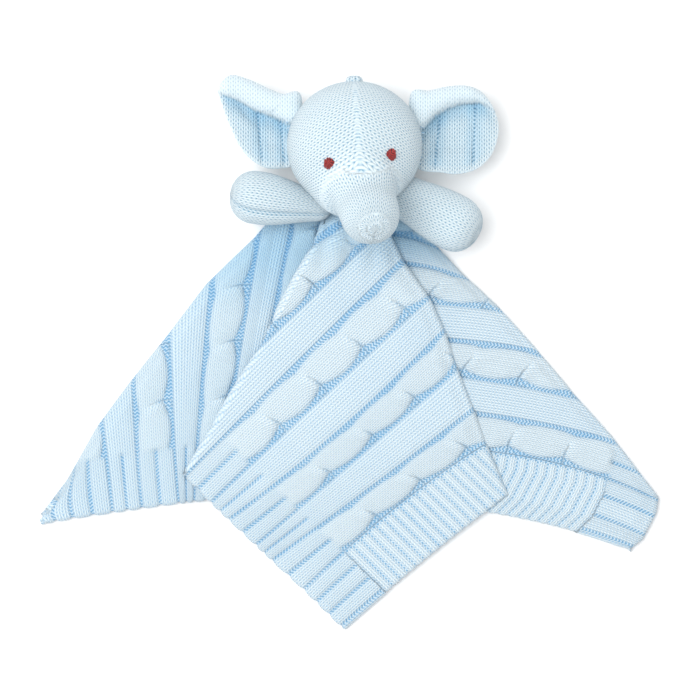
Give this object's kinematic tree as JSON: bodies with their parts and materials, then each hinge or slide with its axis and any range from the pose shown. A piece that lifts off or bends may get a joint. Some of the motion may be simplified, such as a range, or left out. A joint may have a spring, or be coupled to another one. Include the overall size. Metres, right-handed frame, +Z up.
{
  "type": "knitted elephant comforter",
  "caption": "Knitted elephant comforter: a stuffed head with cupped ears, trunk and stuffed arms on a square cable-knit blanket, lying face up.",
  "frame": {"origin": "on the surface that the toy lies on, below the middle of its box", "axes": "+X across the toy, +Y from the blanket's front corner towards the crown of the head, +Z up from the surface towards the face"},
  "size_m": [0.362, 0.326, 0.0875],
  "materials": {
    "cable_knit": "matt pale blue cotton yarn, cable and rib knit",
    "rib_knit": "matt pale blue cotton yarn, ribbed",
    "fine_knit": "matt pale blue cotton yarn, stocking stitch",
    "eye_thread": "red-brown embroidery thread",
    "sewing_yarn": "pale blue sewing yarn",
    "filling": "white polyester fibre filling"
  },
  "bodies": {
    "blanket": {"blanket_panel": "cable_knit", "right_side_band": "rib_knit", "left_side_band": "rib_knit", "neck_stitches": "sewing_yarn", "left_arm_stitches": "sewing_yarn", "right_arm_stitches": "sewing_yarn"},
    "neck": {"neck_gather": "rib_knit", "neck_thread": "sewing_yarn"},
    "head": {"head_face": "fine_knit", "head_back": "fine_knit", "head_stuffing": "filling", "crown_knot": "fine_knit", "left_eye": "eye_thread", "right_eye": "eye_thread", "left_ear_stitches": "sewing_yarn", "right_ear_stitches": "sewing_yarn"},
    "trunk": {"trunk_bridge": "fine_knit", "trunk_underside": "fine_knit", "trunk_stuffing": "filling"},
    "left_ear": {"left_ear_front": "fine_knit", "left_ear_wadding": "filling", "left_ear_back": "fine_knit"},
    "left_arm": {"left_arm_upper_panel": "fine_knit", "left_arm_lower_panel": "fine_knit", "left_arm_stuffing": "filling"},
    "right_ear": {"right_ear_front": "fine_knit", "right_ear_wadding": "filling", "right_ear_back": "fine_knit"},
    "right_arm": {"right_arm_upper_panel": "fine_knit", "right_arm_lower_panel": "fine_knit", "right_arm_stuffing": "filling"}
  },
  "joints": [
    {"name": "head_nod", "type": "hinge", "parent": "blanket", "child": "neck", "pos_m": [0.006, 0.076, 0.012], "axis": [1, 0, 0], "range_deg": [-30, 50]},
    {"name": "head_turn", "type": "hinge", "parent": "neck", "child": "head", "pos_m": [0.005, 0.086, 0.026], "axis": [0, 1, 0], "range_deg": [-12, 12], "stiffness_Nm_per_rad": 0.3},
    {"name": "trunk_lift", "type": "hinge", "parent": "head", "child": "trunk", "pos_m": [0.007, 0.092, 0.044], "axis": [-0.9613, -0.2756, 0], "range_deg": [-6, 22], "stiffness_Nm_per_rad": 0.15},
    {"name": "left_ear_fold", "type": "hinge", "parent": "head", "child": "left_ear", "pos_m": [-0.0395, 0.135, 0.025], "axis": [0.1045, 0.9945, 0], "range_deg": [-10, 32], "stiffness_Nm_per_rad": 0.03},
    {"name": "right_ear_fold", "type": "hinge", "parent": "head", "child": "right_ear", "pos_m": [0.0485, 0.127, 0.025], "axis": [0.0698, -0.9976, 0], "range_deg": [-10, 32], "stiffness_Nm_per_rad": 0.03},
    {"name": "left_arm_swing", "type": "hinge", "parent": "blanket", "child": "left_arm", "pos_m": [-0.024, 0.0835, 0.0175], "axis": [0, 0, 1], "range_deg": [0, 35], "stiffness_Nm_per_rad": 0.02},
    {"name": "right_arm_swing", "type": "hinge", "parent": "blanket", "child": "right_arm", "pos_m": [0.036, 0.086, 0.0175], "axis": [0, 0, -1], "range_deg": [-8, 30], "stiffness_Nm_per_rad": 0.02}
  ]
}
